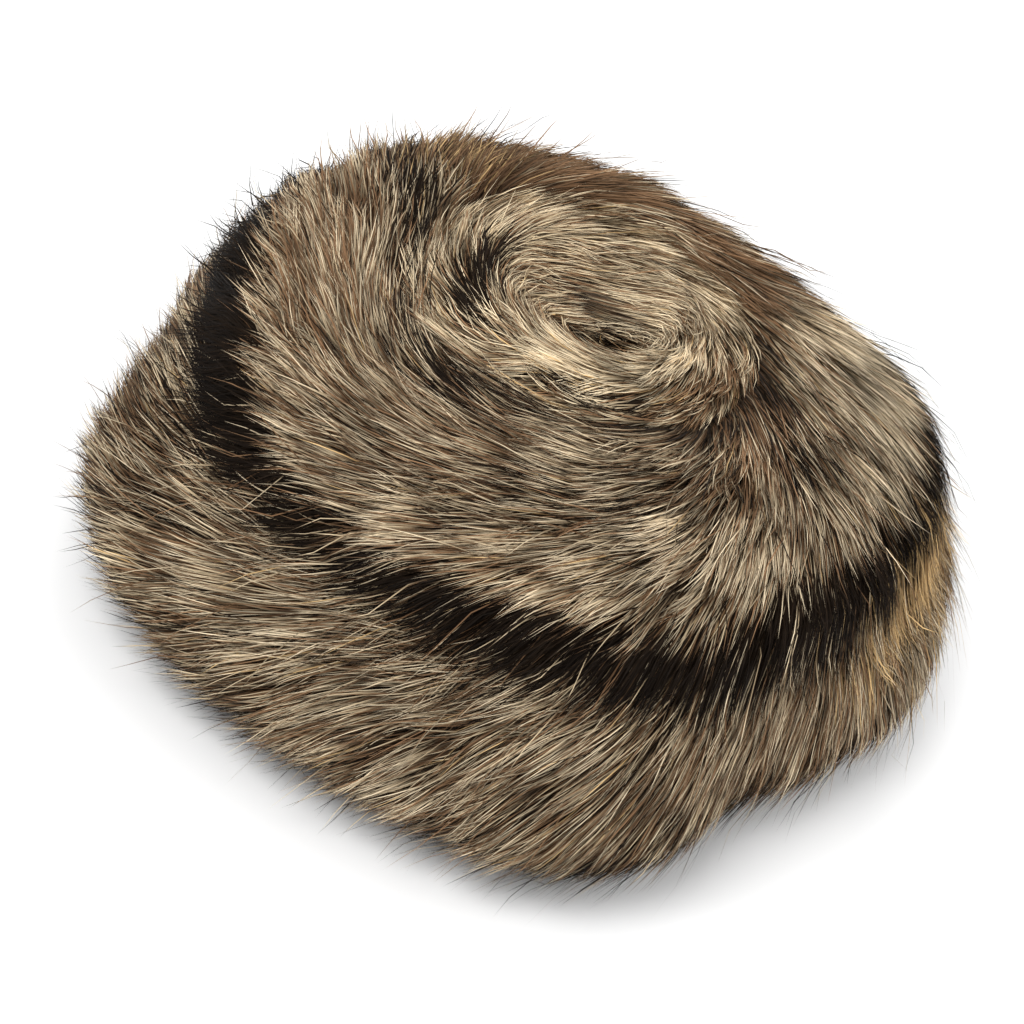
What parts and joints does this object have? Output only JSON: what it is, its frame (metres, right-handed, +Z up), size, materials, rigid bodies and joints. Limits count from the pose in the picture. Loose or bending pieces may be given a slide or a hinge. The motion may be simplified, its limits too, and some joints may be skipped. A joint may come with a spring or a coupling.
{
  "type": "raccoon fur hat",
  "caption": "Round fur hat with a deep turned-up cuff, a puffy crown roll and a whorl on top, open below for the head.",
  "frame": {"origin": "middle of the hat's outline, on the surface that its hem rests on", "axes": "+Z up through the crown, -Y to the hat's front, +X to the wearer's left when the hat is worn"},
  "size_m": [0.2973, 0.2976, 0.1196],
  "materials": {
    "cuff_fur": "raccoon fur with dark roots, cream bands and dark tips, on pelt",
    "crown_fur": "raccoon fur with dark roots, cream bands and brown underfur, on pelt",
    "whorl_fur": "pale raccoon fur turned round itself, on pelt"
  },
  "bodies": {
    "root": {"cuff": "cuff_fur", "crown_side": "crown_fur", "crown_tip": "whorl_fur"}
  },
  "joints": []
}
